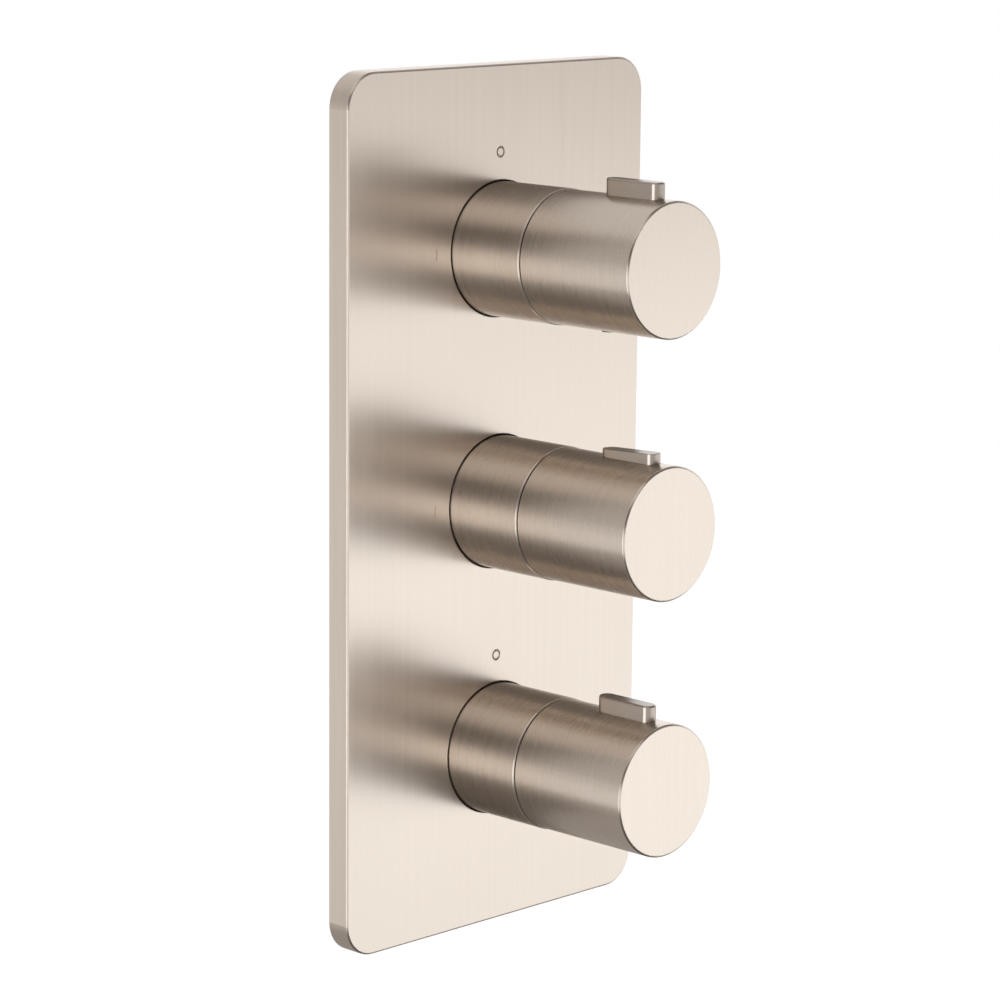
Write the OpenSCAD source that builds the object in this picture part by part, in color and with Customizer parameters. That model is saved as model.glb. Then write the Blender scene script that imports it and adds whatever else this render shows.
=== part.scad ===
// Concealed thermostatic shower valve with three handles on one wall plate.
// Frame: +X to the right, +Y into the wall, +Z up. The origin lies on the
// middle handle's axis, in the back plane of the four fixing lugs.
// Most pieces are drawn lying down: their local +Z points at the user and
// their local +Y points up, with local zero at the back of the casting.

/* [Plate] */
// Width of the wall plate
plate_w = 141; // [126:1:180]
// Height of the wall plate
plate_h = 300; // [285:1:340]
// Depth of the plate in front of the finished wall
plate_t = 9; // [8:0.5:14]
// Corner radius of the plate seen from the front
plate_r = 12; // [10:0.5:20]
// Chamfer round the plate's front edge
plate_edge = 0.5; // [0.3:0.1:1.2]
// Thickness of the plate's front skin
plate_skin = 2.5; // [1.5:0.1:3]
// Thickness of the plate's side walls
plate_rim = 3; // [2:0.5:4]
// Width of the foam gasket behind the rim
gasket_w = 5; // [3:0.5:6]
// Thickness of the foam gasket
gasket_t = 2; // [1:0.5:3]

/* [Handles] */
// Distance between neighbouring handle axes
handle_pitch = 87.5; // [80:0.5:95]
// Reach of the handles in front of the plate
handle_out = 80.3; // [76:0.1:90]
// Reach of the fixed collars in front of the plate
collar_out = 31.4; // [29:0.1:34]
// Outer diameter of the fixed collars
collar_d = 46; // [44:0.2:50]
// Wall thickness of the collars
collar_wall = 2; // [1.5:0.1:2.5]
// Radial gap between a collar and its hole in the plate
collar_gap = 0.5; // [0.1:0.05:0.8]
// Outer diameter of the turning knobs
knob_d = 45.4; // [44:0.2:50]
// Wall thickness of the knobs
knob_wall = 2.5; // [2:0.1:3]
// Thickness of the knobs' end faces
knob_face = 3; // [2:0.1:4]
// Gap between a collar and its knob
knob_gap = 0.4; // [0.3:0.1:1]
// Chamfer round the knobs' end faces
knob_edge = 0.5; // [0.3:0.1:1]
// Diameter of the hub inside a knob
hub_d = 18; // [17:0.5:20]

/* [Levers and button] */
// Length of the lever bars and of the button
lever_l = 24; // [20:0.5:26]
// Width of the lever bars and of the button
lever_w = 5.8; // [5:0.1:7]
// Height of the levers over the knob's crown
lever_h = 5.5; // [4:0.1:8]
// Distance of the levers from the knob's end face
lever_inset = 6; // [5:0.1:8]
// Depth of the levers' seat in the knob's wall
lever_seat = 1.2; // [0.8:0.1:1.4]
// Height of the button over the crown at its wall end
button_back_h = 2.6; // [2.5:0.1:4]
// Height of the button over the crown at its front end
button_front_h = 3.6; // [2.6:0.1:5]
// How far the button is pressed in to pass the comfort stop
button_travel = 2.4; // [2.2:0.1:2.5]
// Turn of the levers from closed to open, in degrees
flow_turn = 90; // [80:1:95]
// Turn of the temperature knob from upright to the comfort stop, in degrees
comfort_turn = 90; // [80:1:95]
// Turn of the temperature knob from upright to the cold stop, in degrees
cold_turn = 135; // [100:1:180]
// Turn past the comfort stop with the button held in, in degrees
override_turn = 55; // [40:1:58]

/* [Body] */
// Distance of the finished wall in front of the casting's back
wall_d = 59; // [58:0.5:69]
// Outer radius of the vertical riser
riser_r = 14; // [12:0.5:16]
// Radius of the mixed water passage in the riser
passage_r = 6; // [5:0.5:7]
// Outer radius of the thermostat's pocket
thermo_body_r = 24; // [22:0.5:26]
// Outer radius of the two flow pockets
flow_body_r = 20; // [19.5:0.5:22]
// Distance between the axes of the hot inlet and the cold one
inlet_dx = 52; // [51:0.5:58]
// Distance from the middle axis down to the inlets' ends
inlet_reach = 108; // [106:0.5:116]
// Distance from a flow handle's axis to its outlet's end
outlet_reach = 36; // [34:0.5:42]
// Radius of the threaded ports, the minor radius of G 1/2
port_r = 9.32; // [9:0.02:9.6]
// Length of the ports' threads
port_l = 16; // [12:0.5:17]
// Outer radius of the inlet and outlet branches
branch_r = 13; // [12:0.5:14]
// Distance between the fixing holes across the wall
lug_dx = 88; // [85:1:96]
// Radius of the fixing holes
lug_hole_r = 2.75; // [2:0.05:3.5]
// Thickness of the fixing lugs
lug_t = 5; // [3:0.5:7]

/* [Cartridges] */
// Length of the carriers' thread on the necks
neck_l = 6.5; // [6:0.5:8]
// Radius of the thermostat's pocket bore
thermo_r = 15.5; // [15:0.1:16]
// Radius of the flow pockets' bore
flow_r = 11.5; // [11:0.1:12.5]
// Height of the cartridges' hexagon heads
hex_h = 6; // [4:0.5:7]
// Radius of the spindles in their guides
spindle_r = 5.95; // [5:0.05:6.2]
// Radius over the teeth of the spindles' serration
spline_r = 4.4; // [4:0.1:4.6]
// Number of teeth on the spindles' serration
spline_teeth = 20; // [16:2:28]
// Length of the spindles' serration
spline_l = 10; // [8:0.5:12]
// Width of the thermostat's hot gallery and of its cold one
gallery_t = 6; // [4:0.5:7]
// Distance between the hot gallery and the cold one
gallery_gap = 6; // [5:0.5:8]
// Thickness of each ceramic disc
disc_t = 3.5; // [3:0.1:4]
// Lead of the thermostat's regulating thread, in one full turn
thermo_lead = 1.5; // [1:0.1:1.6]

/* [Hidden] */
$fn = 96;

// Overrun of every cut
cut = 1;
// Gap between two pieces that are fitted together and don't move
fit = 0.02;
// Radial clearance of shafts and sliders
run = 0.05;
// Gap at the end of a shaft or between seats that mustn't bind
slack = 0.3;
// Angles: a full turn, and the direction up seen from the front
full_turn = 360;
up_turn = 90;

// Half the width of a groove, as a share of its O-ring's section
groove_share = 0.6;

// Axial stations of the trim
plate_front = wall_d + plate_t;
collar_r = collar_d / 2;
collar_in = collar_r - collar_wall;
collar_back = wall_d + gasket_t + 0.5 * fit;
collar_front = plate_front + collar_out;
knob_r = knob_d / 2;
knob_in = knob_r - knob_wall;
knob_back = collar_front + knob_gap;
knob_front = plate_front + handle_out;
back_edge_share = 0.4;
knob_back_edge = back_edge_share * knob_edge;
collar_edge_share = 0.6;
collar_edge = collar_edge_share * knob_edge;
hub_r = hub_d / 2;

// Plate: bosses round the holes, ribs and the gasket's rebate
hole_r = collar_r + collar_gap;
boss_wall = 3;
boss_r = hole_r + boss_wall;
boss_back = wall_d + gasket_t / 2;
rib_w = 2;
rib_back = wall_d + gasket_t + 1.5 * rib_w / 2;
plate_ring_cs = 1.6;
plate_ring_z = plate_front - plate_skin - 0.5 * plate_ring_cs;
mark_r = 1.9;
mark_line = 0.55;
mark_depth = 0.25;
mark_up = 33;
mark_side = 30;
tick_h = 3.6;

// Carriers: tubes screwed on the necks, which hold the collars on O-rings
ring_gap = 0.8;
carrier_r = collar_in - ring_gap;
carrier_thin = 1.2;
carrier_wall = 2.4;
neck_r = carrier_r - carrier_thin;
carrier_in = carrier_r - carrier_wall;
web_t = 2;
carrier_front = collar_front - 3 * web_t - knob_gap;
guide_t = 3;
guide_front = carrier_front - 2 * guide_t;
collar_ring_cs = 1.4;
collar_ring_z = [collar_back + 3 * collar_ring_cs, guide_front];
collar_web_r = carrier_in - knob_gap;

// Knob hub, grub screw and adaptor
adaptor_thick_r = hub_r;
adaptor_r = hub_r * 2 / 3;
hub_back = knob_back + 2 * guide_t;
hub_solid = 18;
hub_bore_end = knob_front - knob_face - hub_solid;
grub_r = 2.5;
grub_share = 0.41;
grub_z = plate_front + collar_out + grub_share * (handle_out - collar_out);
grub_flat = 0.6;
grub_boss_r = 4.4;
grub_socket_r = 1.44;
grub_socket_l = 3;
grub_proud = [-slack, -slack, slack];

// Lever bars and the button
lever_z = knob_front - lever_inset - lever_l / 2;
lever_edge = 0.4;
peg_r = 1.4;
peg_dz = lever_l / 2;
button_clear = 0.15;
flange_t = 2;
flange_side = 1.4;
pad_t = 1.6;
pad_y = knob_in - pad_t;
pad_w = lever_w + 3 * flange_side + 2 * knob_gap;
flange_y = pad_y - slack - flange_t;
spring_wire = 0.7;
button_spring_r = 2.8;
button_pocket_l = 2.2;
button_turns = 5;

// Stop ring: a sleeve on the carrier's guide with lugs at its front
stop_in = 14;
stop_wall = 1.9;
stop_out = stop_in + stop_wall;
stop_flange_t = 3;
stop_sleeve_out = 8;
stop_front = knob_back + stop_sleeve_out;
stop_lug_h = 4.5;
stop_lug_t = 2;
tooth_w = 4.4;
tooth_t = button_travel - slack;
tooth_drop = 0.6;
tooth_y = stop_in - tooth_drop;
tooth_half = asin(tooth_w / 2 / tooth_y);
stop_clear = 1;
stop_lug_turn = 10;
arm_back = stop_front + stop_lug_h + 2 * slack;
arm_t = 2;

// Casting of the body: the riser's axis, the pockets' floors and the ports' axis
riser_z = riser_r;
floor_t = 1;
thermo_floor = riser_z + passage_r + floor_t;
land_t = gallery_t / 2;
hot_z = thermo_floor + land_t + gallery_t / 2;
cold_z = hot_z + gallery_t + gallery_gap;
port_d = (hot_z + cold_z) / 2;
casting_back = riser_z - riser_r / 2;
case_rim = 3;
neck_gap = 0.5;
neck_back = port_d + branch_r + neck_gap;
neck_front = neck_back + neck_l;
port_hex_side = 2.4;
port_hex_r = branch_r + port_hex_side;
port_hex_l = 12;
leg_head = 4;
gallery_wall = 2.8;
gallery_r = thermo_r + gallery_wall;
rise_side = 1.2;
rise_r = passage_r + rise_side;
lug_pad_r = 8;
lug_back = neck_back - lug_t;
leg_web_t = 5;

// Inlets: the thread's inner end, the filter, the check valve and the feed hole
filter_t = 1.5;
filter_r = port_r - filter_t / 2;
filter_hole_r = 0.8;
filter_pitch = 2.2;
filter_rings = 3;
check_r = 7.5;
check_l = 15;
check_out = inlet_reach - port_l - filter_t;
check_in = check_out - check_l;
check_wall = 1.7;
check_case_in = check_r - check_wall;
check_seat_t = 3;
check_floor_t = 2;
feed_r = gallery_t / 2 - slack;
poppet_r = 4.9;
poppet_t = 1.6;
poppet_stem_r = 1.3;
poppet_seat = check_out - check_seat_t;
check_spring_r = 3.2;
check_wire = 0.5;
check_turns = 5;
check_window_turn = 66;

// Flow cartridge stations, from the pocket's floor to the spindle's end
disc_seal_t = 2.2;
disc_seal_w = 1.5;
flow_floor = port_d - 1.5 * disc_t - disc_seal_t;
fixed_z = flow_floor + disc_seal_t;
moving_z = fixed_z + disc_t + run;
drive_z = moving_z + disc_t + run;
drive_t = 3;
drive_top = drive_z + drive_t;
flow_case_wall = 1.5;
flow_case_in = flow_r - flow_case_wall;
flow_gallery_r = flow_r + gallery_wall;
disc_r = flow_case_in - 2 * run;
key_w = 3;
key_h = 1.2;
stop_r_out = 9;
stop_r_in = 7;
stop_pin_turn = 20;
flow_window_turn = 70;
fixed_port_turn = 80;
moving_port_turn = 84;
stop_pin_h = 1.5;
head_top = neck_front + hex_h;
head_collar = 2;
flow_hex_r = flow_r + head_collar;
spline_z = head_top + head_collar;
groove_cs = 1.5;
spindle_ring_z = [neck_back + groove_cs, neck_front + groove_cs];

// Thermostatic cartridge stations
chamber_floor_t = 2;
chamber_z = thermo_floor + chamber_floor_t;
chamber_wall = 4;
chamber_r = thermo_r - chamber_wall;
chamber_top = cold_z + gallery_t / 2;
outflow_r = 8.2;
thermo_window_turn = 60;
guide_r = 8.5;
guide_top = neck_front - chamber_floor_t;
case_shoulder = neck_front - hex_h;
case_neck_wall = 1.7;
case_neck_r = guide_r + case_neck_wall;
thermo_hex_r = carrier_in - slack;
thermo_ring_z = [
    (thermo_floor + hot_z - gallery_t / 2) / 2,
    port_d,
    (cold_z + gallery_t / 2 + case_shoulder) / 2
];
spindle_flange_t = 2;
thread_r = 3;
thread_top = 2;
thread_travel = thermo_lead * comfort_turn / full_turn;
plunger_t = 5;
plunger_gap = 1.5;
plunger_z = chamber_top + plunger_gap;
plunger_hub_t = 2;
wax_r = 4.2;
wax_flange_r = 5.2;
wax_flange_t = 2;
wax_piston_r = 1.8;
shuttle_h = 6;
shuttle_z = port_d - shuttle_h / 2;
shuttle_wall = 1.5;
shuttle_hub_wall = 2.3;
shuttle_arm = 2;
return_wire = 1.2;
return_gap_share = 1.8;
return_spring_r = chamber_r - return_gap_share * return_wire;
return_turns = 4;

function helix_ring(i, n, turns, length, r, wire, sides) =
    let (a = full_turn * turns * i / n, z = wire + (length - 2 * wire) * i / n)
    [for (k = [0 : sides - 1])
        let (b = full_turn * k / sides, q = r + wire * cos(b))
        [q * cos(a), q * sin(a), z + wire * sin(b)]];

// A round wire wound into an open coil spring that stands on local zero
module coil_spring(r, wire_d, turns, length) {
    steps = 14;
    sides = 6;
    n = turns * steps;
    points = [for (i = [0 : n]) each helix_ring(i, n, turns, length, r, wire_d / 2, sides)];
    faces = concat(
        [[for (k = [0 : sides - 1]) k]],
        [for (i = [0 : n - 1], k = [0 : sides - 1])
            let (a = i * sides + k, b = i * sides + (k + 1) % sides)
            [a, a + sides, b + sides]],
        [for (i = [0 : n - 1], k = [0 : sides - 1])
            let (a = i * sides + k, b = i * sides + (k + 1) % sides)
            [a, b + sides, b]],
        [[for (k = [sides - 1 : -1 : 0]) n * sides + k]]
    );
    polyhedron(points, faces, convexity = 10);
}

// Lays a piece on the axis of handle i: 1 is the top, 0 the middle, -1 the low one
module on_axis(i) {
    translate([0, lug_back, i * handle_pitch]) rotate([90, 0, 0]) children();
}

// Turns a solid of revolution from points of radius and station
module revolve(points) {
    rotate_extrude() polygon(points);
}

module tube(r_out, r_in, z0, z1) {
    revolve([[r_in, z0], [r_out, z0], [r_out, z1], [r_in, z1]]);
}

module rod(r, z0, z1) {
    translate([0, 0, z0]) cylinder(r = r, h = z1 - z0);
}

// An O-ring whose inner radius and section are given
module o_ring(r_in, cs, z) {
    translate([0, 0, z]) rotate_extrude() translate([r_in + cs / 2, 0]) circle(d = cs);
}

// A sector of a ring, from one angle to another
module sector(r_out, r_in, z0, z1, a0, a1) {
    translate([0, 0, z0]) rotate([0, 0, a0])
        rotate_extrude(angle = a1 - a0) translate([r_in, 0]) square([r_out - r_in, z1 - z0]);
}

module rounded(w, h, r) {
    square([w - 2 * r, h], center = true);
    square([w, h - 2 * r], center = true);
    for (x = [-1, 1], y = [-1, 1])
        translate([x * (w / 2 - r), y * (h / 2 - r)]) circle(r);
}

// Cross-section of a slab's front: w wide, c thick, over a chamfer c wide
function bevelled(w, c) =
    [[-w / 2, -c], [w / 2, -c], [w / 2, 0], [w / 2 - c, c], [c - w / 2, c], [-w / 2, 0]];

// A rounded slab whose front edge is chamfered all round
module bevelled_slab(w, h, r, t, c) {
    linear_extrude(t - c) rounded(w, h, r);
    translate([0, 0, t - c]) {
        for (x = [-1, 1], y = [-1, 1]) translate([x * (w / 2 - r), y * (h / 2 - r), 0])
            revolve([[0, -c], [r, -c], [r, 0], [r - c, c], [0, c]]);
        rotate([90, 0, 0]) linear_extrude(h - 2 * r, center = true) polygon(bevelled(w, c));
        rotate([90, 0, 90]) linear_extrude(w - 2 * r, center = true) polygon(bevelled(h, c));
    }
}

module stadium(w, l) {
    square([w, l - w], center = true);
    for (s = [-1, 1]) translate([0, s * (l - w) / 2]) circle(d = w);
}

// Stands a flat outline up along local +Y between two heights, at station z
module upright(z, y0, y1) {
    translate([0, y0, z]) rotate([-90, 0, 0]) linear_extrude(y1 - y0) children();
}

// Teeth of a serration as a flat outline
module serration(r, grow) {
    depth_share = 0.1;
    depth = depth_share * r;
    step = full_turn / spline_teeth / 2;
    polygon([for (k = [0 : 2 * spline_teeth - 1])
        let (q = r + grow - (k % 2) * depth)
        [q * cos(k * step), q * sin(k * step)]]);
}

module faceplate() {
    inner = plate_rim + gasket_w;
    depth = plate_t - plate_skin;
    color("tan") on_axis(0) difference() {
        union() {
            difference() {
                translate([0, 0, wall_d]) bevelled_slab(plate_w, plate_h, plate_r, plate_t, plate_edge);
                translate([0, 0, wall_d - cut]) linear_extrude(gasket_t + cut)
                    rounded(plate_w - 2 * plate_rim, plate_h - 2 * plate_rim, plate_r - plate_rim);
                translate([0, 0, wall_d - cut]) linear_extrude(depth + cut)
                    rounded(plate_w - 2 * inner, plate_h - 2 * inner, plate_r - plate_rim);
            }
            plate_ribs(inner, wall_d + depth + plate_skin / 2);
            for (i = [-1 : 1]) translate([0, i * handle_pitch, 0])
                rod(boss_r, boss_back, plate_front - plate_skin / 2);
        }
        for (i = [-1 : 1]) translate([0, i * handle_pitch, 0]) {
            rod(hole_r, wall_d - cut, plate_front + cut);
            rod(hole_r + plate_ring_cs - collar_gap, plate_ring_z - groove_share * plate_ring_cs,
                plate_ring_z + groove_share * plate_ring_cs);
        }
        for (i = [-1, 1]) translate([0, i * handle_pitch + mark_up, 0])
            tube(mark_r, mark_r - mark_line, plate_front - mark_depth, plate_front + cut);
        for (i = [0 : 1]) translate([-mark_side, i * handle_pitch, plate_front + (cut - mark_depth) / 2])
            cube([mark_line, tick_h, cut + mark_depth], center = true);
    }
}

// Ribs inside the plate: one up its middle and one across at each handle
module plate_ribs(inner, top) {
    translate([-rib_w / 2, -plate_h / 2 + inner - rib_w, rib_back])
        cube([rib_w, plate_h - 2 * inner + 2 * rib_w, top - rib_back]);
    for (i = [-1 : 1]) translate([-plate_w / 2 + inner - rib_w, i * handle_pitch - rib_w / 2, rib_back])
        cube([plate_w - 2 * inner + 2 * rib_w, rib_w, top - rib_back]);
}

module plate_gasket() {
    w = plate_w - 2 * plate_rim - 2 * fit;
    h = plate_h - 2 * plate_rim - 2 * fit;
    r = plate_r - plate_rim - fit;
    color("dimgray") on_axis(0) translate([0, 0, wall_d]) linear_extrude(gasket_t) difference() {
        rounded(w, h, r);
        rounded(w - 2 * gasket_w, h - 2 * gasket_w, r);
    }
}

module plate_o_rings() {
    color("black") for (i = [-1 : 1])
        on_axis(i) o_ring(collar_r + fit, plate_ring_cs - 2 * fit, plate_ring_z);
}

module collar(i) {
    web = carrier_front;
    color("tan") on_axis(i) revolve([
        [collar_in, collar_back], [collar_r, collar_back],
        [collar_r, collar_front - collar_edge], [collar_r - collar_edge, collar_front],
        [collar_in, collar_front], [collar_in, web + web_t],
        [collar_web_r, web + web_t], [collar_web_r, web], [collar_in, web]
    ]);
}

module carrier(i) {
    groove = carrier_r - (collar_ring_cs - ring_gap);
    color("goldenrod") on_axis(i) difference() {
        revolve([
            [neck_r + fit, neck_back], [carrier_r, neck_back], [carrier_r, carrier_front],
            [carrier_in, carrier_front], [carrier_in, guide_front],
            [adaptor_thick_r + run, guide_front], [adaptor_thick_r + run, guide_front - guide_t],
            [carrier_in, guide_front - guide_t], [carrier_in, neck_front + fit],
            [neck_r + fit, neck_front + fit]
        ]);
        for (z = collar_ring_z)
            tube(carrier_r + cut, groove,
                z - groove_share * collar_ring_cs, z + groove_share * collar_ring_cs);
    }
}

module collar_o_rings() {
    r = carrier_r - (collar_ring_cs - ring_gap);
    color("black") for (i = [-1 : 1], z = collar_ring_z)
        on_axis(i) o_ring(r + fit, collar_ring_cs - 2 * fit, z);
}

// The knob's cup with its hub, before anything is let into it
module knob_cup() {
    inside = knob_front - knob_face;
    revolve([
        [0, knob_front], [knob_r - knob_edge, knob_front], [knob_r, knob_front - knob_edge],
        [knob_r, knob_back + knob_back_edge], [knob_r - knob_back_edge, knob_back], [knob_in, knob_back],
        [knob_in, inside], [hub_r, inside], [hub_r, hub_back],
        [adaptor_r + run, hub_back], [adaptor_r + run, hub_bore_end], [0, hub_bore_end]
    ]);
    for (s = [-1, 1]) translate([s * (hub_r + knob_in) / 2, 0, (lever_z + inside) / 2])
        cube([knob_in - hub_r + rib_w, rib_w, inside - lever_z + rib_w], center = true);
    difference() {
        upright(grub_z, -knob_in - knob_wall / 2, -adaptor_r - knob_wall / 2) circle(grub_boss_r);
        rod(adaptor_r + run, hub_back - cut, hub_bore_end);
    }
}

module grub_hole() {
    upright(grub_z, -knob_r - cut, 0) circle(grub_r + fit);
}

module flow_knob(i) {
    color("tan") on_axis(i) difference() {
        knob_cup();
        grub_hole();
        upright(lever_z, knob_r - lever_seat, knob_r + cut) stadium(lever_w + 2 * run, lever_l + 2 * run);
        for (s = [-1, 1]) upright(lever_z + s * peg_dz / 2, knob_in - cut, knob_r) circle(peg_r + fit);
    }
}

module knob_mid() {
    pad_z = lever_l + 2 * flange_side + 2 * knob_gap;
    color("tan") on_axis(0) difference() {
        union() {
            knob_cup();
            intersection() {
                rod(knob_in + knob_wall / 2, knob_back, knob_front - knob_face / 2);
                translate([-pad_w / 2, pad_y, lever_z - pad_z / 2]) cube([pad_w, knob_wall + cut, pad_z]);
            }
        }
        grub_hole();
        upright(lever_z, pad_y - cut, knob_r + cut)
            stadium(lever_w + 2 * button_clear, lever_l + 2 * button_clear);
        upright(lever_z, hub_r - button_pocket_l, hub_r + cut) circle(button_spring_r + spring_wire);
    }
}

module lever(i) {
    seat = knob_r - lever_seat;
    top = knob_r + lever_h;
    color("tan") on_axis(i) {
        upright(lever_z, seat, top - lever_edge) stadium(lever_w, lever_l);
        translate([0, top - lever_edge, lever_z]) rotate([-90, 0, 0]) {
            for (s = [-1, 1]) translate([0, s * (lever_l - lever_w) / 2, 0])
                cylinder(d1 = lever_w, d2 = lever_w - 2 * lever_edge, h = lever_edge);
            rotate([90, 0, 0]) linear_extrude(lever_l - lever_w, center = true) polygon([
                [-lever_w / 2, 0], [lever_w / 2, 0],
                [lever_w / 2 - lever_edge, lever_edge], [lever_edge - lever_w / 2, lever_edge]
            ]);
        }
        for (s = [-1, 1])
            upright(lever_z + s * peg_dz / 2, knob_in - peg_r / 2, seat + peg_r / 2) circle(peg_r);
    }
}

module override_button() {
    half = lever_l / 2;
    flange_w = lever_w + 2 * flange_side;
    flange_front = lever_z + half + flange_side;
    color("tan") on_axis(0) {
        intersection() {
            upright(lever_z, flange_y + flange_t / 2, knob_r + 2 * button_front_h)
                stadium(lever_w, lever_l);
            rotate([90, 0, 90]) linear_extrude(2 * lever_w, center = true) polygon([
                [flange_y, lever_z - half], [flange_y, lever_z + half],
                [knob_r + button_front_h, lever_z + half], [knob_r + button_back_h, lever_z - half]
            ]);
        }
        translate([-flange_w / 2, flange_y, arm_back]) cube([flange_w, flange_t, flange_front - arm_back]);
        translate([-tooth_w / 2, tooth_y, arm_back])
            cube([tooth_w, flange_y + flange_t / 2 - tooth_y, arm_t]);
        translate([-tooth_w / 2, tooth_y, stop_front + slack])
            cube([tooth_w, tooth_t, arm_back + arm_t / 2 - stop_front - slack]);
    }
}

module button_spring() {
    foot = hub_r - button_pocket_l;
    color("silver") on_axis(0) translate([0, foot + fit, lever_z]) rotate([-90, 0, 0])
        coil_spring(button_spring_r, spring_wire, button_turns, flange_y - foot - 2 * fit);
}

module grub_screw(i) {
    tip = grub_flat - adaptor_r - fit;
    head = knob_r + grub_proud[i + 1];
    color("dimgray") on_axis(i) difference() {
        upright(grub_z, -head, tip) circle(grub_r);
        upright(grub_z, -head - cut, grub_socket_l - head) circle(grub_socket_r, $fn = 6);
    }
}

module adaptor(i) {
    color("goldenrod") on_axis(i) difference() {
        revolve([
            [0, spline_z + slack], [adaptor_thick_r, spline_z + slack], [adaptor_thick_r, hub_back - slack],
            [adaptor_r, hub_back - slack], [adaptor_r, hub_bore_end - slack], [0, hub_bore_end - slack]
        ]);
        translate([0, 0, spline_z - cut]) linear_extrude(spline_l + slack + cut) serration(spline_r, run);
        upright(grub_z, -adaptor_r - cut, grub_flat - adaptor_r) circle(grub_r + knob_gap);
    }
}

module stop_ring() {
    comfort = up_turn + comfort_turn + tooth_half + stop_clear;
    hot_end = comfort + override_turn;
    cold_end = up_turn - cold_turn - tooth_half - stop_clear;
    top = stop_front + stop_lug_h;
    color("white") on_axis(0) difference() {
        revolve([
            [stop_in, guide_front], [carrier_in - fit, guide_front],
            [carrier_in - fit, guide_front + stop_flange_t], [stop_out, guide_front + stop_flange_t],
            [stop_out, top], [hub_r + stop_lug_t, top],
            [hub_r + stop_lug_t, stop_front + slack], [stop_in, stop_front + slack]
        ]);
        sector(carrier_in, hub_r, stop_front, top + cut, comfort + stop_lug_turn, hot_end);
        sector(carrier_in, hub_r, stop_front, top + cut, cold_end, comfort);
        sector(stop_in + fit, hub_r, stop_front, top + cut,
            comfort - stop_clear, comfort + stop_lug_turn + stop_clear);
    }
}

// Branch with a hexagon end and a threaded port, along local +Z from station z to l
module branch(z, l) {
    rod(branch_r, z, l - port_hex_l / 2);
    translate([0, 0, l - port_hex_l]) cylinder(r = port_hex_r, h = port_hex_l, $fn = 6);
}

// Leg from the thermostat's pocket down to an inlet, with a bevelled head
module inlet_leg() {
    branch(0, inlet_reach);
    revolve([[0, -branch_r], [branch_r - leg_head, -branch_r], [branch_r, leg_head - branch_r],
        [branch_r, leg_head], [0, leg_head]]);
}

module inlet_bores() {
    rod(port_r, inlet_reach - port_l, inlet_reach + cut);
    rod(filter_r, check_out, inlet_reach);
    rod(check_r, check_in, inlet_reach);
    rod(check_case_in, -check_case_in, check_out);
}

// Hole from a leg to its gallery, on the gallery's own level
module feed_hole(s) {
    translate([0, 0, s < 0 ? hot_z : cold_z]) rotate([0, s * 90, 0])
        rod(feed_r, thermo_r + gallery_wall / 2, inlet_dx / 2);
}

// Strap across a flow pocket's front with a lug at each end, and the gusset behind it
module lug_strap() {
    gusset_back = riser_z + riser_r / 2;
    translate([0, 0, lug_back]) linear_extrude(lug_t) {
        square([lug_dx, 2 * lug_pad_r], center = true);
        for (x = [-1, 1]) translate([x * lug_dx / 2, 0]) circle(lug_pad_r);
    }
    rotate([90, 0, 0]) linear_extrude(lug_t, center = true) polygon([
        [lug_pad_r - lug_dx / 2, lug_back + lug_t / 2], [lug_dx / 2 - lug_pad_r, lug_back + lug_t / 2],
        [flow_body_r - lug_t, gusset_back], [lug_t - flow_body_r, gusset_back]
    ]);
}

// Case round a cartridge's pocket, with a bevelled rim at its back and a neck at its front
module pocket_case(r) {
    revolve([[0, casting_back], [r - case_rim, casting_back], [r, casting_back + case_rim],
        [r, neck_back], [0, neck_back]]);
    rod(neck_r, neck_back - cut, neck_front);
}

module body_casting() {
    translate([0, 0, riser_z]) rotate([-90, 0, 0]) rod(riser_r, -handle_pitch, handle_pitch);
    pocket_case(thermo_body_r);
    for (i = [-1, 1]) {
        translate([0, i * handle_pitch, 0]) {
            pocket_case(flow_body_r);
            translate([0, 0, port_d]) rotate([-i * 90, 0, 0]) branch(0, outlet_reach);
            lug_strap();
        }
        on_leg(i) inlet_leg();
    }
    // Web that ties the legs to the riser, half-way between the pockets
    translate([-inlet_dx / 2, -(handle_pitch + leg_web_t) / 2, riser_z])
        cube([inlet_dx, leg_web_t, riser_r]);
}

// Stands a piece on a leg's axis: local +Z runs down from the middle axis
module on_leg(s) {
    translate([s * inlet_dx / 2, 0, port_d]) rotate([90, 0, 0]) children();
}

module valve_body() {
    color("darkgoldenrod") on_axis(0) difference() {
        body_casting();
        translate([0, 0, riser_z]) rotate([-90, 0, 0])
            rod(passage_r, -handle_pitch - passage_r / 2, handle_pitch + passage_r / 2);
        rod(thermo_r, thermo_floor, neck_front + cut);
        rod(outflow_r, riser_z, thermo_floor + cut);
        for (z = [hot_z, cold_z]) rod(gallery_r, z - gallery_t / 2, z + gallery_t / 2);
        for (i = [-1, 1]) {
            translate([0, i * handle_pitch, 0]) {
                rod(flow_r, flow_floor, neck_front + cut);
                rod(flow_gallery_r, port_d - disc_t, port_d + disc_t);
                rod(rise_r, riser_z, flow_floor + cut);
                translate([0, 0, port_d]) rotate([-i * 90, 0, 0]) {
                    rod(port_r, outlet_reach - port_l, outlet_reach + cut);
                    rod(passage_r, flow_r - gallery_wall, outlet_reach);
                }
            }
            on_leg(i) inlet_bores();
            feed_hole(i);
            for (x = [-1, 1]) translate([x * lug_dx / 2, i * handle_pitch, 0])
                rod(lug_hole_r, lug_back - cut, neck_back + cut);
        }
    }
}

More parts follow.
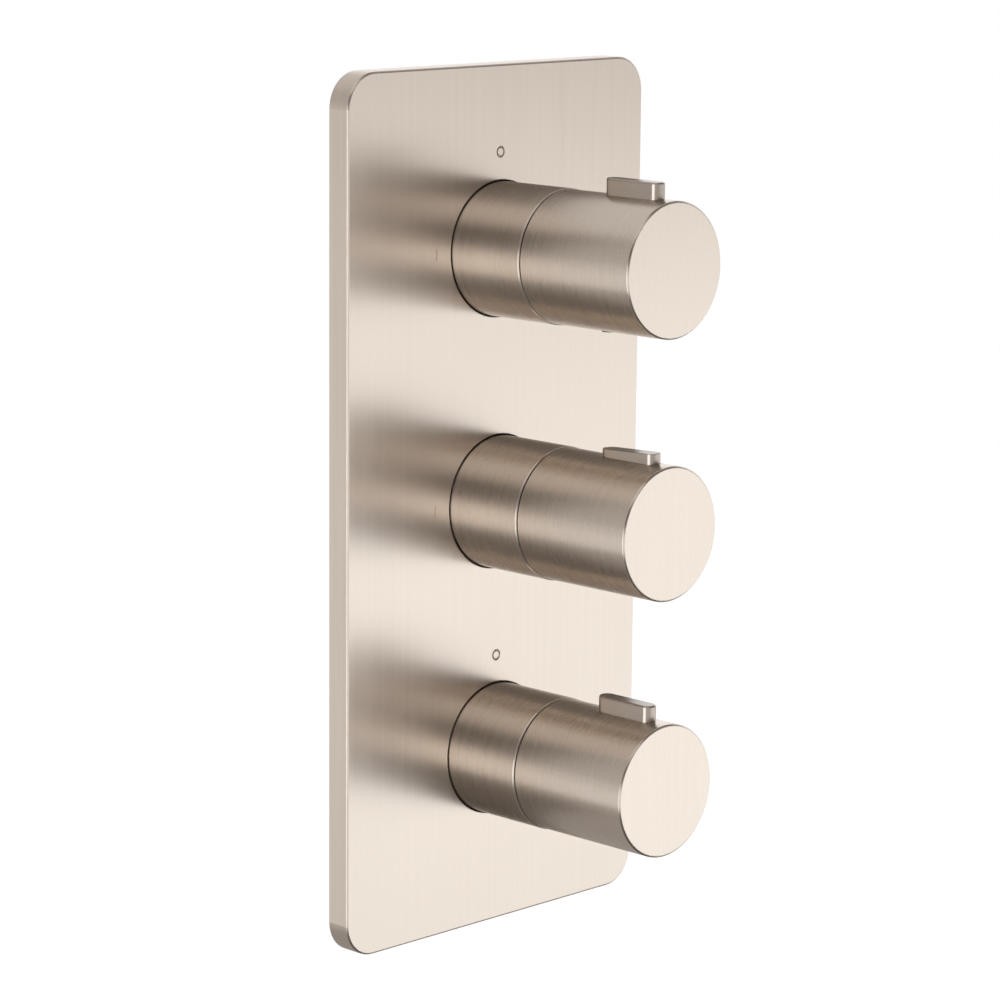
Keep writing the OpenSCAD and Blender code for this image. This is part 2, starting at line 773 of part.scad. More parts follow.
module flow_housing(i) {
    bore = spindle_r + run;
    color("goldenrod") on_axis(i) difference() {
        union() {
            rod(flow_r - run, flow_floor + fit, neck_front);
            translate([0, 0, neck_front + fit]) cylinder(r = flow_hex_r, h = hex_h - fit, $fn = 6);
            rod(bore + head_collar, neck_front, head_top + head_collar / 2);
        }
        rod(flow_case_in, flow_floor - cut, drive_top + run);
        rod(bore, flow_floor, head_top + head_collar);
        sector(stop_r_out + run, stop_r_in - run, drive_top - cut, drive_top + stop_pin_h + run,
            up_turn - stop_pin_turn / 2 - stop_clear, up_turn + stop_pin_turn / 2 + flow_turn + stop_clear);
        for (a = [0, 180])
            sector(flow_r + cut, flow_case_in - cut, moving_z, drive_z,
                a - flow_window_turn / 2, a + flow_window_turn / 2);
    }
}

module flow_spindle(i) {
    color("goldenrod") on_axis(i) difference() {
        union() {
            rod(disc_r - run, drive_z, drive_top);
            rod(spindle_r, drive_z, spline_z);
            translate([0, 0, spline_z]) linear_extrude(spline_l) serration(spline_r, 0);
            translate([-disc_r + 2 * run, run - key_w / 2, drive_z - key_h])
                cube([2 * disc_r - 4 * run, key_w - 2 * run, key_h + drive_t / 2]);
            sector(stop_r_out, stop_r_in, drive_top - drive_t / 2, drive_top + stop_pin_h,
                up_turn - stop_pin_turn / 2, up_turn + stop_pin_turn / 2);
        }
        for (z = spindle_ring_z) spindle_groove(z);
    }
}

// Groove for an O-ring round a spindle
module spindle_groove(z) {
    tube(spindle_r + cut, spindle_r - groove_cs + run,
        z - groove_share * groove_cs, z + groove_share * groove_cs);
}

module spindle_o_rings() {
    r = spindle_r - groove_cs + run + fit;
    color("black") {
        for (i = [-1, 1], z = spindle_ring_z) on_axis(i) o_ring(r, groove_cs - 2 * fit, z);
        on_axis(0) o_ring(r, groove_cs - 2 * fit, spindle_ring_z[1]);
    }
}

// The turning disc is a bow tie: it covers both ports when the handle is off
module moving_disc(i) {
    color("whitesmoke") on_axis(i) difference() {
        rod(disc_r - run, moving_z, moving_z + disc_t);
        for (a = [90, 270])
            sector(disc_r + cut, disc_r / 3, moving_z - cut, moving_z + disc_t + cut,
                a - moving_port_turn / 2, a + moving_port_turn / 2);
        translate([-disc_r - cut, -key_w / 2, moving_z + disc_t - key_h])
            cube([2 * (disc_r + cut), key_w, key_h + cut]);
    }
}

module fixed_disc(i) {
    port_r_share = 0.8;
    color("whitesmoke") on_axis(i) difference() {
        rod(disc_r, fixed_z, fixed_z + disc_t);
        for (a = [0, 180])
            sector(port_r_share * disc_r, disc_r / 3, fixed_z - cut, fixed_z + disc_t + cut,
                a - fixed_port_turn / 2, a + fixed_port_turn / 2);
    }
}

module disc_seals() {
    color("black") for (i = [-1, 1]) on_axis(i)
        tube(disc_r, disc_r - disc_seal_w, flow_floor + fit, fixed_z - fit);
}

// Keys that let the plunger slide in its guide but not turn
module plunger_keys(grow, z0, z1) {
    for (s = [-1, 1]) translate([s * guide_r, 0, (z0 + z1) / 2])
        cube([key_h + 2 * grow, key_w + 2 * grow, z1 - z0], center = true);
}

module thermo_housing() {
    color("goldenrod") on_axis(0) difference() {
        union() {
            rod(thermo_r - run, thermo_floor + fit, case_shoulder);
            rod(case_neck_r, case_shoulder - cut, head_top + head_collar / 2);
        }
        rod(outflow_r, thermo_floor - cut, chamber_z + cut);
        rod(chamber_r, chamber_z, chamber_top);
        rod(guide_r, chamber_top - cut, guide_top);
        plunger_keys(run, chamber_top - cut, guide_top);
        rod(spindle_r + run, guide_top - cut, head_top + head_collar);
        for (z = [hot_z, cold_z], a = [45 : 90 : 315])
            sector(thermo_r + cut, chamber_r - cut, z - gallery_t / 3, z + gallery_t / 3,
                a - thermo_window_turn / 2, a + thermo_window_turn / 2);
        for (z = thermo_ring_z)
            tube(thermo_r + cut, thermo_r - groove_cs,
                z - groove_share * groove_cs, z + groove_share * groove_cs);
    }
}

module thermo_o_rings() {
    color("black") for (z = thermo_ring_z)
        on_axis(0) o_ring(thermo_r - groove_cs + fit, groove_cs - 2 * fit, z);
}

module thermo_nut() {
    color("goldenrod") on_axis(0) difference() {
        union() {
            rod(thermo_r - run, case_shoulder + fit, neck_front + hex_h / 2);
            translate([0, 0, neck_front + fit]) cylinder(r = thermo_hex_r, h = hex_h - fit, $fn = 6);
        }
        rod(case_neck_r + run, case_shoulder - cut, head_top + cut);
    }
}

module thermo_spindle() {
    color("goldenrod") on_axis(0) difference() {
        union() {
            rod(thread_r - run, plunger_z + thread_top, guide_top);
            rod(guide_r - run, guide_top - spindle_flange_t, guide_top - run);
            rod(spindle_r, guide_top - spindle_flange_t, spline_z);
            translate([0, 0, spline_z]) linear_extrude(spline_l) serration(spline_r, 0);
        }
        spindle_groove(spindle_ring_z[1]);
    }
}

// A nut on the spindle's thread, which pushes the wax element in as it is turned
module thermo_plunger() {
    color("silver") on_axis(0) difference() {
        union() {
            rod(guide_r - run, plunger_z, plunger_z + plunger_hub_t);
            rod(thread_r + plunger_hub_t, plunger_z, plunger_z + plunger_t);
            plunger_keys(0, plunger_z, plunger_z + plunger_hub_t);
        }
        rod(thread_r, plunger_z + thread_top - thread_travel - slack, plunger_z + plunger_t + cut);
    }
}

module wax_element() {
    color("peru") on_axis(0) {
        rod(wax_r, chamber_z, port_d);
        rod(wax_flange_r, port_d, port_d + wax_flange_t);
        rod(wax_piston_r, port_d, plunger_z - fit);
    }
}

module shuttle() {
    hub_r = wax_r + shuttle_hub_wall;
    arm_l = chamber_r - shuttle_wall / 2 - wax_r - shuttle_hub_wall / 2;
    color("silver") on_axis(0) {
        tube(chamber_r - run, chamber_r - shuttle_wall, shuttle_z, shuttle_z + shuttle_h);
        tube(hub_r, wax_r + fit, shuttle_z, port_d - fit);
        for (a = [0 : 120 : 240]) rotate([0, 0, a])
            translate([hub_r - shuttle_hub_wall / 2, -shuttle_arm / 2, shuttle_z])
                cube([arm_l, shuttle_arm, shuttle_arm]);
    }
}

module return_spring() {
    color("silver") on_axis(0) translate([0, 0, chamber_z + fit])
        coil_spring(return_spring_r, return_wire, return_turns, shuttle_z - chamber_z - 2 * fit);
}

// Puts a piece in an inlet's leg: local +Z runs down from the middle axis
module in_inlet(s) {
    on_axis(0) on_leg(s) children();
}

module check_valve(s) {
    color("white") in_inlet(s) difference() {
        rod(check_r - fit, check_in + fit, check_out - fit);
        rod(check_case_in, check_in + check_floor_t, poppet_seat);
        rod(poppet_r - poppet_t / 2, poppet_seat - cut, check_out);
        rod(poppet_stem_r + run, check_in, check_in + check_floor_t + cut);
        for (a = [45 : 90 : 315])
            sector(check_case_in - run, 2 * poppet_stem_r, check_in - cut, check_in + check_floor_t + cut,
                a - check_window_turn / 2, a + check_window_turn / 2);
    }
}

module check_poppet(s) {
    color("dodgerblue") in_inlet(s) {
        rod(poppet_r, poppet_seat - poppet_t, poppet_seat - fit);
        rod(poppet_stem_r, check_in + fit, poppet_seat - poppet_t / 2);
    }
}

module check_spring(s) {
    back = check_in + check_floor_t + fit;
    color("silver") in_inlet(s) translate([0, 0, back])
        coil_spring(check_spring_r, check_wire, check_turns, poppet_seat - poppet_t - fit - back);
}

module inlet_filters() {
    n = filter_rings;
    color("silver") for (s = [-1, 1]) in_inlet(s) difference() {
        rod(filter_r - fit, check_out + fit, check_out + filter_t);
        for (i = [-n : n], j = [-n : n])
            if (norm([i, j]) * filter_pitch < filter_r - filter_pitch / 2)
                translate([i * filter_pitch, j * filter_pitch, 0]) rod(filter_hole_r, check_out, inlet_reach);
    }
}

faceplate();
plate_gasket();
plate_o_rings();
collar(1);  // collar_top
collar(0);  // collar_mid
collar(-1);  // collar_low
carrier(1);  // carrier_top
carrier(0);  // carrier_mid
carrier(-1);  // carrier_low
collar_o_rings();
flow_knob(1);  // knob_top
knob_mid();
flow_knob(-1);  // knob_low
lever(1);  // lever_top
lever(-1);  // lever_low
override_button();
button_spring();
grub_screw(1);  // grub_screw_top
grub_screw(0);  // grub_screw_mid
grub_screw(-1);  // grub_screw_low
adaptor(1);  // adaptor_top
adaptor(0);  // adaptor_mid
adaptor(-1);  // adaptor_low
stop_ring();
valve_body();
flow_housing(1);  // flow_housing_top
flow_housing(-1);  // flow_housing_low
flow_spindle(1);  // flow_spindle_top
flow_spindle(-1);  // flow_spindle_low
moving_disc(1);  // moving_disc_top
moving_disc(-1);  // moving_disc_low
fixed_disc(1);  // fixed_disc_top
fixed_disc(-1);  // fixed_disc_low
disc_seals();
spindle_o_rings();
thermo_housing();
thermo_nut();
thermo_spindle();
thermo_plunger();
wax_element();
shuttle();
return_spring();
thermo_o_rings();
check_valve(-1);  // check_valve_hot
check_valve(1);  // check_valve_cold
check_poppet(-1);  // check_poppet_hot
check_poppet(1);  // check_poppet_cold
check_spring(-1);  // check_spring_hot
check_spring(1);  // check_spring_cold
inlet_filters();
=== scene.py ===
import math

import bpy
from mathutils import Matrix, Vector


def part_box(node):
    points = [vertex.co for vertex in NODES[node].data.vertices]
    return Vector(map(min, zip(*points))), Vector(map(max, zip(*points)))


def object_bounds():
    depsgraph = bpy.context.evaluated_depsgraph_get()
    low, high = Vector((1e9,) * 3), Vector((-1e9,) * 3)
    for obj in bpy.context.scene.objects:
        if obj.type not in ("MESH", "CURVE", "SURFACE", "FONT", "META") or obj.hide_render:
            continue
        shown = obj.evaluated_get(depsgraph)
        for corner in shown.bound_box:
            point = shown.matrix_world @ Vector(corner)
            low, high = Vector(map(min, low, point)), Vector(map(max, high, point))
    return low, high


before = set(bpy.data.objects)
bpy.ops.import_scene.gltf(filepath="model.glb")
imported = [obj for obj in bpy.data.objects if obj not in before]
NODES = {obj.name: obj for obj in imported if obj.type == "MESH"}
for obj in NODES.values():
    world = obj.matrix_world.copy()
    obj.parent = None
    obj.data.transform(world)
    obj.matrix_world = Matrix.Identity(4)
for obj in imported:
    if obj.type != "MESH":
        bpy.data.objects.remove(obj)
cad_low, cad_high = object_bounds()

MM = 0.001

# Place of the camera as the photograph's perspective gives it, in metres, degrees and millimetres of lens
CAMERA_AT = Vector((-0.87465, -0.89055, 0.23466))
CAMERA_YAW = 45.39
CAMERA_PITCH = 10.792
CAMERA_ROLL = -0.525
CAMERA_LENS = 130.6
CAMERA_SENSOR = 36.0
CAMERA_NEAR = 0.05
CAMERA_FAR = 50.0

# Places of the plate's marks from a handle's axis, and how far from its centre a mark reaches
MARK_UP = 33 * MM
MARK_SIDE = 30 * MM
MARK_REACH = 3.5 * MM

# Shader nodes


def add(tree, kind, inputs=None, **settings):
    """Adds a shader node; inputs maps a socket to a value or to another node's socket."""
    node = tree.nodes.new(kind)
    for key, value in settings.items():
        setattr(node, key, value)
    for key, value in (inputs or {}).items():
        if isinstance(value, bpy.types.NodeSocket):
            tree.links.new(value, node.inputs[key])
        else:
            node.inputs[key].default_value = value
    return node


def maths(tree, operation, a, b=0.0):
    return add(tree, "ShaderNodeMath", {0: a, 1: b}, operation=operation).outputs[0]


def vector_maths(tree, operation, a, b):
    return add(tree, "ShaderNodeVectorMath", {0: a, 1: b}, operation=operation).outputs[0]


def vector_number(tree, operation, a, b):
    """A number from two vectors: their dot product or their distance."""
    return add(tree, "ShaderNodeVectorMath", {0: a, 1: b}, operation=operation).outputs["Value"]


def blend_vectors(tree, share, a, b):
    return add(tree, "ShaderNodeMix", {0: share, 4: a, 5: b}, data_type="VECTOR").outputs[1]


def blend_colours(tree, share, a, b):
    return add(tree, "ShaderNodeMix", {0: share, 6: a, 7: b}, data_type="RGBA").outputs[2]


def weigh(tree, a, b, share):
    """A sum of a and b in which a has the given share."""
    return maths(tree, "ADD", maths(tree, "MULTIPLY", a, share), maths(tree, "MULTIPLY", b, 1 - share))


def stretch(tree, share, low, high):
    """Maps a share from 0 to 1 onto low to high."""
    return add(tree, "ShaderNodeMapRange", {0: share, 3: low, 4: high}).outputs[0]


def tint(tree, share, contrast, dark, colour):
    """Colours from dark to colour; a noise keeps near its middle, so contrast widens it both ways."""
    return blend_colours(tree, stretch(tree, share, -contrast, 1 + contrast), dark, colour)


def noise(tree, at, scale=1.0, detail=3.0, roughness=0.5):
    inputs = {"Vector": at, "Scale": scale, "Detail": detail, "Roughness": roughness}
    return add(tree, "ShaderNodeTexNoise", inputs).outputs[0]


def bump(tree, height, depth, strength, normal=None):
    inputs = {"Height": height, "Distance": depth, "Strength": strength}
    if normal is not None:
        inputs["Normal"] = normal
    return add(tree, "ShaderNodeBump", inputs).outputs[0]


def object_position(tree):
    return add(tree, "ShaderNodeTexCoord").outputs["Object"]


def object_axis(tree, axis):
    """An axis of the object, as it points in the world when the object has turned."""
    turn = {"convert_from": "OBJECT", "convert_to": "WORLD"}
    return add(tree, "ShaderNodeVectorTransform", {0: axis}, **turn).outputs[0]


def across(tree, normal, lines):
    """The direction across brushed lines; a little of X keeps it from vanishing where lines meet a face."""
    return vector_maths(tree, "ADD", vector_maths(tree, "CROSS_PRODUCT", normal, lines), (0.01, 0, 0))


def new_material(name):
    """A material with only a Principled shader; gives the material, its tree and the shader."""
    material = bpy.data.materials.new(name)
    material.use_nodes = True
    tree = material.node_tree
    tree.nodes.clear()
    shader = add(tree, "ShaderNodeBsdfPrincipled")
    add(tree, "ShaderNodeOutputMaterial", {0: shader.outputs[0]})
    return material, tree, shader


def link(tree, shader, **sockets):
    for name, socket in sockets.items():
        tree.links.new(socket, shader.inputs[name.replace("_", " ")])


# Materials

# How often the brushed pattern changes a metre along each axis, for lines that run up, along and round
FINE = 5200.0
SLOW = 22.0
LINES_UP = (FINE, FINE, SLOW)
LINES_ALONG = (FINE, SLOW, FINE)
LINES_ROUND = (SLOW, FINE, SLOW)
BROAD_LINES = 0.09
CLOUDS = 14.0
BRUSH_DEPTH = 0.004 * MM
BRUSH_SPREAD = 0.55

# A turned piece's face counts as its end where its normal is this near the axis
END_FACING = 0.8

NICKEL = (0.93, 0.838, 0.752, 1.0)
NICKEL_DARK = (0.80, 0.717, 0.636, 1.0)
# Painted shade: the levers' nickel is the same nickel made darker, for the dimmer look of their sides
SHADED_LEVER_NICKEL = (0.63, 0.565, 0.505, 1.0)
SHADED_LEVER_NICKEL_DARK = (0.43, 0.383, 0.34, 1.0)
PLATE_ROUGHNESS = 0.30
TURNED_ROUGHNESS = 0.27
LEVER_ROUGHNESS = 0.22

# Painted shade: seams darken where less than SEAM_OPEN of the surroundings is open, and are darkest at
# SEAM_SHUT
SEAM_PAINTED_SHADE = (0.07, 0.055, 0.045, 1.0)
SEAM_REACH = 0.9 * MM
SEAM_SHUT = 0.12
SEAM_OPEN = 0.45
SEAM_SAMPLES = 8

# Edges catch light as if rounded by this much
EDGE_ROUND = 0.45 * MM
EDGE_SAMPLES = 6

# Etched marks start this far behind the plate's front
GROOVE_START = 0.04 * MM
GROOVE_ROUGHNESS = 0.6
RING_GROOVE = (0.66, 0.575, 0.50, 1.0)
BAR_GROOVE = (0.90, 0.66, 0.53, 1.0)


def brushed_nickel(name, lines, roughness, colour=NICKEL, dark=NICKEL_DARK):
    """Satin nickel brushed in fine lines: up the piece, along it, or round it with its ends brushed upwards.

    Narrow seams and gaps get painted shade, darker where less of their surroundings is open.
    """
    material, tree, shader = new_material(name)
    at = object_position(tree)
    normal = add(tree, "ShaderNodeNewGeometry").outputs["Normal"]
    up = object_axis(tree, (0, 0, 1))
    along = object_axis(tree, (0, 1, 0))
    across_up = across(tree, normal, up)
    if lines == "up":
        scale = LINES_UP
        tangent = across_up
    elif lines == "along":
        scale = LINES_ALONG
        tangent = across(tree, normal, along)
    else:
        facing = maths(tree, "ABSOLUTE", vector_number(tree, "DOT_PRODUCT", normal, along))
        end = maths(tree, "GREATER_THAN", facing, END_FACING)
        scale = blend_vectors(tree, end, LINES_ROUND, LINES_UP)
        tangent = blend_vectors(tree, end, along, across_up)
    lines_at = vector_maths(tree, "MULTIPLY", at, scale)
    fine = noise(tree, lines_at, 1.0, 2.0, 0.6)
    broad = noise(tree, lines_at, BROAD_LINES, 3.0, 0.55)
    cloud = noise(tree, at, CLOUDS, 2.0, 0.5)
    streak = weigh(tree, fine, broad, 0.45)
    clean = tint(tree, weigh(tree, streak, cloud, 0.8), 0.35, dark, colour)
    air = add(tree, "ShaderNodeAmbientOcclusion", {"Distance": SEAM_REACH}, samples=SEAM_SAMPLES)
    open_air = add(tree, "ShaderNodeMapRange", {0: air.outputs["AO"], 1: SEAM_SHUT, 2: SEAM_OPEN}).outputs[0]
    rounded = add(tree, "ShaderNodeBevel", {"Radius": EDGE_ROUND}, samples=EDGE_SAMPLES).outputs[0]
    # Painted shade: the base colour darkens in seams and gaps where ambient occlusion finds little open space
    link(tree, shader, Base_Color=blend_colours(tree, open_air, SEAM_PAINTED_SHADE, clean))
    link(tree, shader, Roughness=stretch(tree, streak, roughness - 0.07, roughness + 0.09))
    link(tree, shader, Normal=bump(tree, streak, BRUSH_DEPTH, 0.6, rounded))
    link(tree, shader, Tangent=tangent)
    shader.inputs["Metallic"].default_value = 1.0
    shader.inputs["Anisotropic"].default_value = BRUSH_SPREAD
    return material


def engrave(material, centres, front, colour):
    """Colours what lies just behind the plate's front near the marks: the etched grooves."""
    tree = material.node_tree
    shader = next(node for node in tree.nodes if node.type == "BSDF_PRINCIPLED")
    at = object_position(tree)
    depth = add(tree, "ShaderNodeSeparateXYZ", {0: at}).outputs["Y"]
    groove = 0.0
    for centre in centres:
        inside = maths(tree, "LESS_THAN", vector_number(tree, "DISTANCE", at, centre), MARK_REACH)
        groove = maths(tree, "MAXIMUM", groove, inside)
    groove = maths(tree, "MULTIPLY", groove, maths(tree, "GREATER_THAN", depth, front + GROOVE_START))
    plain = shader.inputs["Base Color"].links[0].from_socket
    link(tree, shader, Base_Color=blend_colours(tree, groove, plain, colour))
    plain = shader.inputs["Roughness"].links[0].from_socket
    dull = maths(tree, "MULTIPLY", groove, GROOVE_ROUGHNESS)
    link(tree, shader, Roughness=maths(tree, "MAXIMUM", plain, dull))


def turned_metal(name, colour, dark, roughness):
    """Metal turned on a lathe about an axis along Y: fine rings, a little stain."""
    material, tree, shader = new_material(name)
    at = object_position(tree)
    rings = noise(tree, vector_maths(tree, "MULTIPLY", at, (40.0, 900.0, 40.0)), 1.0, 3.0, 0.6)
    stain = noise(tree, at, 90.0, 4.0, 0.6)
    link(tree, shader, Base_Color=tint(tree, weigh(tree, rings, stain, 0.4), 0.4, dark, colour))
    link(tree, shader, Roughness=stretch(tree, rings, roughness - 0.08, roughness + 0.10))
    link(tree, shader, Normal=bump(tree, rings, 0.02 * MM, 0.5))
    shader.inputs["Metallic"].default_value = 1.0
    return material


def cast_metal(name, colour, dark, roughness):
    """Sand-cast metal: a coarse grain over soft waves, darker in patches."""
    material, tree, shader = new_material(name)
    at = object_position(tree)
    grain = noise(tree, at, 1400.0, 3.0, 0.6)
    waves = noise(tree, at, 120.0, 2.0, 0.5)
    patches = noise(tree, at, 38.0, 4.0, 0.65)
    relief = weigh(tree, grain, waves, 0.45)
    link(tree, shader, Base_Color=tint(tree, weigh(tree, patches, grain, 0.7), 0.5, dark, colour))
    link(tree, shader, Roughness=stretch(tree, relief, roughness - 0.08, roughness + 0.12))
    link(tree, shader, Normal=bump(tree, relief, 0.12 * MM, 0.7))
    shader.inputs["Metallic"].default_value = 1.0
    return material


def drawn_steel(name, colour, dark, roughness):
    """Drawn or rolled steel: small scratches with no direction."""
    material, tree, shader = new_material(name)
    at = object_position(tree)
    marks = noise(tree, at, 900.0, 4.0, 0.7)
    haze = noise(tree, at, 150.0, 2.0, 0.5)
    link(tree, shader, Base_Color=tint(tree, weigh(tree, marks, haze, 0.5), 0.3, dark, colour))
    link(tree, shader, Roughness=stretch(tree, marks, roughness - 0.06, roughness + 0.10))
    link(tree, shader, Normal=bump(tree, marks, 0.01 * MM, 0.5))
    shader.inputs["Metallic"].default_value = 1.0
    return material


def moulded(name, colour, dark, roughness, grain_scale, grain_depth, coat=0.0):
    """Plastic, rubber, foam or ceramic: a fine grain, a slight haze and uneven gloss."""
    material, tree, shader = new_material(name)
    at = object_position(tree)
    grain = noise(tree, at, grain_scale, 3.0, 0.6)
    haze = noise(tree, at, 60.0, 3.0, 0.5)
    link(tree, shader, Base_Color=tint(tree, weigh(tree, grain, haze, 0.4), 0.3, dark, colour))
    link(tree, shader, Roughness=stretch(tree, haze, roughness - 0.06, roughness + 0.08))
    link(tree, shader, Normal=bump(tree, grain, grain_depth, 0.6))
    shader.inputs["Coat Weight"].default_value = coat
    return material


# Which node has which material


def dress(material, *names):
    for name in names:
        piece = NODES[name]
        if not piece.material_slots:
            piece.data.materials.append(material)
        for place in piece.material_slots:
            place.material = material


def three(stem):
    return [stem + "_" + place for place in ("top", "mid", "low")]


def finish_metal_trim():
    plate = brushed_nickel("plate_nickel", "up", PLATE_ROUGHNESS)
    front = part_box("faceplate")[0].y
    collar_low, collar_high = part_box("collar_top")
    top_axis = (collar_low.z + collar_high.z) / 2
    engrave(plate, [(0.0, front, level + MARK_UP) for level in (top_axis, -top_axis)], front, RING_GROOVE)
    engrave(plate, [(-MARK_SIDE, front, level) for level in (top_axis, 0.0)], front, BAR_GROOVE)
    dress(plate, "faceplate")
    turned = brushed_nickel("turned_nickel", "round", TURNED_ROUGHNESS)
    dress(turned, *three("collar"), *three("knob"))
    # The levers take the darker nickel, as painted shade
    lever = brushed_nickel("shaded_lever_nickel", "along", LEVER_ROUGHNESS, SHADED_LEVER_NICKEL, SHADED_LEVER_NICKEL_DARK)
    dress(lever, "lever_top", "lever_low", "override_button")


def finish_brass():
    brass = turned_metal("turned_brass", (0.80, 0.60, 0.30, 1), (0.62, 0.43, 0.19, 1), 0.28)
    dress(brass, *three("carrier"), *three("adaptor"), "flow_housing_top", "flow_housing_low",
          "flow_spindle_top", "flow_spindle_low", "thermo_housing", "thermo_nut", "thermo_spindle")
    dress(cast_metal("cast_brass", (0.72, 0.53, 0.27, 1), (0.50, 0.34, 0.16, 1), 0.42), "valve_body")
    dress(turned_metal("copper", (0.80, 0.46, 0.30, 1), (0.60, 0.30, 0.19, 1), 0.30), "wax_element")


def finish_steel():
    steel = drawn_steel("spring_steel", (0.66, 0.66, 0.65, 1), (0.48, 0.48, 0.48, 1), 0.26)
    dress(steel, "button_spring", "return_spring", "check_spring_hot", "check_spring_cold",
          "thermo_plunger", "shuttle", "inlet_filters")
    dark = drawn_steel("blackened_steel", (0.14, 0.135, 0.13, 1), (0.07, 0.07, 0.07, 1), 0.38)
    dress(dark, *three("grub_screw"))


def finish_soft():
    """Rubber, foam, acetal and ceramic: each with its colours, roughness, grain a metre and grain depth."""
    rubber = moulded("seal_rubber", (0.030, 0.030, 0.031, 1), (0.018, 0.018, 0.018, 1), 0.48,
                     1500.0, 0.01 * MM)
    dress(rubber, "plate_o_rings", "collar_o_rings", "disc_seals", "spindle_o_rings", "thermo_o_rings")
    foam = moulded("gasket_foam", (0.060, 0.060, 0.062, 1), (0.022, 0.022, 0.022, 1), 0.85,
                   2600.0, 0.15 * MM)
    dress(foam, "plate_gasket")
    white = moulded("white_acetal", (0.82, 0.81, 0.77, 1), (0.74, 0.73, 0.69, 1), 0.38, 1200.0, 0.008 * MM)
    dress(white, "stop_ring", "check_valve_hot", "check_valve_cold")
    blue = moulded("blue_acetal", (0.10, 0.26, 0.60, 1), (0.07, 0.19, 0.47, 1), 0.36, 1200.0, 0.008 * MM)
    dress(blue, "check_poppet_hot", "check_poppet_cold")
    ceramic = moulded("lapped_ceramic", (0.88, 0.87, 0.84, 1), (0.82, 0.81, 0.78, 1), 0.16,
                      2400.0, 0.002 * MM, coat=0.4)
    dress(ceramic, "moving_disc_top", "moving_disc_low", "fixed_disc_top", "fixed_disc_low")


# Studio

# A white floor, with a faint glow that keeps the shadow under the valve soft
FLOOR_DROP = 1.1
FLOOR_HALF = 6.0
FLOOR_WHITE = 0.9
FLOOR_ROUGHNESS = 0.9
FLOOR_GLOW = 0.15

# How far the boards stand from the valve, and the lowest ones under it; degrees to a face, and at the top
BOARD_FAR = 3.4
BOARD_UNDER = 1.1
BOARD_STEP = 5.0
BOARD_TOP = 89

# How much redder and less blue a dark board is than a white one
WARM_RED = 0.11
WARM_BLUE = 0.09

# Each row of boards, with its azimuths, and with the lower edge and the strength of each board in it, upwards
BOARDS = (
    ("right", (95, 180), ((-89, 0.05), (-29, 1.1), (-4, 0.67), (4, 0.1), (34, 0.15))),
    ("left", (180, 249), ((-89, 0.08), (-25, 0.71), (0, 0.3), (8, 0.08), (34, 0.65))),
    ("edge", (-111, -78), ((-89, 0.25), (-30, 2.2), (8, 0.4), (40, 0.56))),
    ("behind", (-78, 15), ((-89, 0.29), (-25, 0.61), (-5, 0.52), (5, 0.42), (40, 0.56))),
    ("crown", (15, 95), ((-89, 0.31), (-25, 0.64), (-4, 1.05), (30, 0.56))),
)


def board_point(azimuth, elevation):
    """A point of the boards' shell, flat over the floor; azimuth 0 is behind the wall and 90 right."""
    azimuth = math.radians(azimuth)
    drop = -math.sin(math.radians(elevation))
    level = math.cos(math.radians(elevation))
    direction = Vector((math.sin(azimuth) * level, math.cos(azimuth) * level, -drop))
    if drop > 0:
        return direction * min(BOARD_FAR, BOARD_UNDER / drop)
    return direction * BOARD_FAR


def board_glow(name, strength):
    """A board's light: the darker it is, the warmer."""
    material = bpy.data.materials.new(name)
    material.use_nodes = True
    tree = material.node_tree
    tree.nodes.clear()
    dark = max(0.0, 1.0 - strength)
    colour = (strength * (1 + WARM_RED * dark), strength, strength * (1 - WARM_BLUE * dark), 1.0)
    light = add(tree, "ShaderNodeEmission", {"Color": colour, "Strength": 1.0})
    add(tree, "ShaderNodeOutputMaterial", {0: light.outputs[0]})
    return material


def make_board(name, azimuths, elevations, strength):
    """A board between two azimuths and two elevations that only reflections see."""
    columns = math.ceil((azimuths[1] - azimuths[0]) / BOARD_STEP)
    rows = math.ceil((elevations[1] - elevations[0]) / BOARD_STEP)
    points = []
    for row in range(rows + 1):
        elevation = elevations[0] + (elevations[1] - elevations[0]) * row / rows
        for column in range(columns + 1):
            azimuth = azimuths[0] + (azimuths[1] - azimuths[0]) * column / columns
            points.append(board_point(azimuth, elevation))
    width = columns + 1
    corners = [row * width + column for row in range(rows) for column in range(columns)]
    mesh = bpy.data.meshes.new(name)
    mesh.from_pydata(points, [], [(i, i + 1, i + 1 + width, i + width) for i in corners])
    mesh.materials.append(board_glow(name, strength))
    board = bpy.data.objects.new(name, mesh)
    bpy.context.scene.collection.objects.link(board)
    board.visible_camera = False
    board.visible_shadow = False
    board.visible_diffuse = False


def make_boards():
    """Light boards low at the right, dark cloth above them, and greys behind."""
    for side, azimuths, steps in BOARDS:
        edges = [low for low, strength in steps] + [BOARD_TOP]
        for index, (low, strength) in enumerate(steps):
            make_board(f"board_{side}_{index}", azimuths, (low, edges[index + 1]), strength)


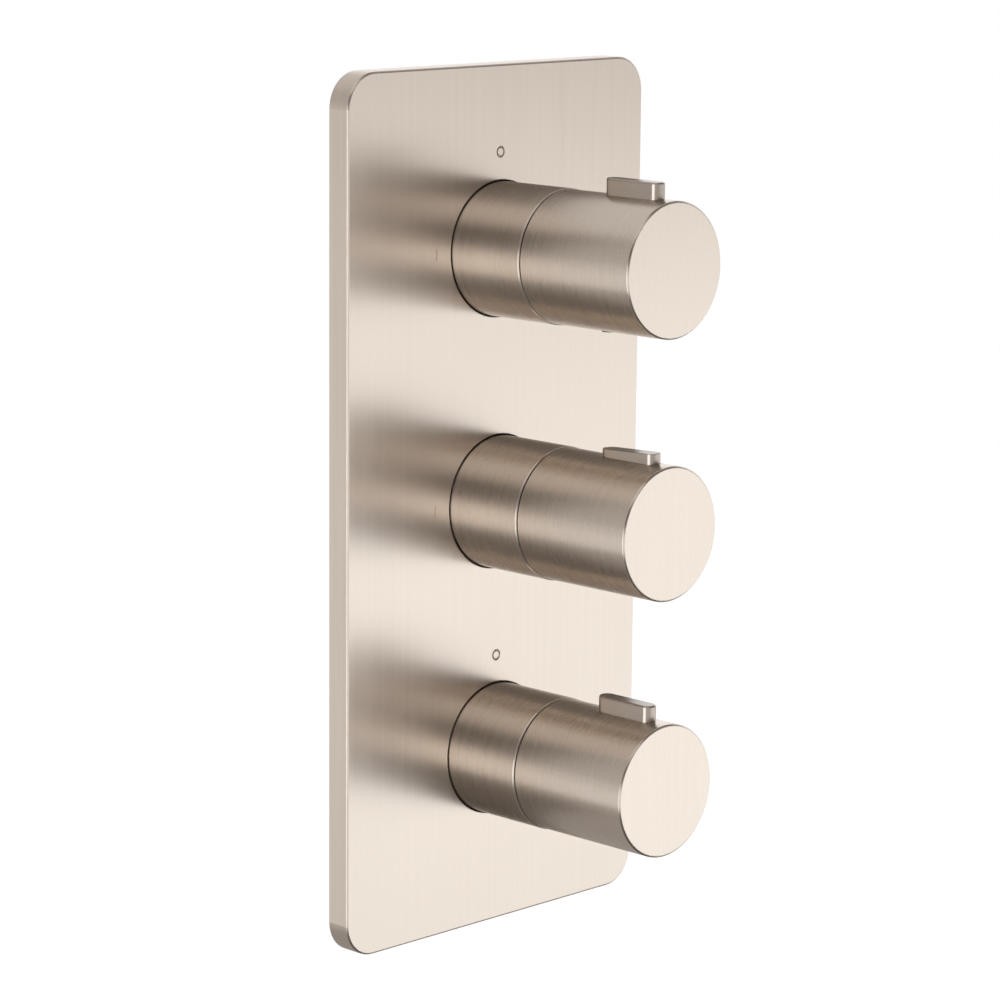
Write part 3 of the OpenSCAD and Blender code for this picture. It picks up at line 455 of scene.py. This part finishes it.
def make_world():
    world = bpy.data.worlds.new("studio")
    bpy.context.scene.world = world
    world.use_nodes = True
    tree = world.node_tree
    tree.nodes.clear()
    sky = add(tree, "ShaderNodeBackground", {"Color": (1, 1, 1, 1), "Strength": 1.0})
    add(tree, "ShaderNodeOutputWorld", {0: sky.outputs[0]})


def make_floor():
    level = cad_low.z - FLOOR_DROP
    points = [(x * FLOOR_HALF, y * FLOOR_HALF, level) for x, y in ((-1, -1), (1, -1), (1, 1), (-1, 1))]
    mesh = bpy.data.meshes.new("floor")
    mesh.from_pydata(points, [], [(0, 1, 2, 3)])
    floor = bpy.data.objects.new("floor", mesh)
    bpy.context.scene.collection.objects.link(floor)
    material, _, shader = new_material("floor_white")
    shader.inputs["Base Color"].default_value = (FLOOR_WHITE, FLOOR_WHITE, FLOOR_WHITE, 1)
    shader.inputs["Roughness"].default_value = FLOOR_ROUGHNESS
    shader.inputs["Emission Color"].default_value = (1, 1, 1, 1)
    shader.inputs["Emission Strength"].default_value = FLOOR_GLOW
    floor.data.materials.append(material)


def make_camera():
    yaw = math.radians(CAMERA_YAW)
    pitch = math.radians(CAMERA_PITCH)
    roll = math.radians(CAMERA_ROLL)
    reach = math.cos(pitch)
    forward = Vector((math.sin(yaw) * reach, math.cos(yaw) * reach, -math.sin(pitch)))
    level = Vector((math.cos(yaw), -math.sin(yaw), 0.0))
    down = forward.cross(level)
    right = level * math.cos(roll) + down * math.sin(roll)
    down = down * math.cos(roll) - level * math.sin(roll)
    data = bpy.data.cameras.new("camera")
    data.lens = CAMERA_LENS
    data.sensor_width = CAMERA_SENSOR
    data.clip_start = CAMERA_NEAR
    data.clip_end = CAMERA_FAR
    camera = bpy.data.objects.new("camera", data)
    turn = Matrix((right, -down, -forward)).transposed()
    camera.matrix_world = Matrix.Translation(CAMERA_AT) @ turn.to_4x4()
    bpy.context.scene.collection.objects.link(camera)
    bpy.context.scene.camera = camera


finish_metal_trim()
finish_brass()
finish_steel()
finish_soft()
make_world()
make_floor()
make_boards()
make_camera()
bpy.context.scene.view_settings.view_transform = "Standard"
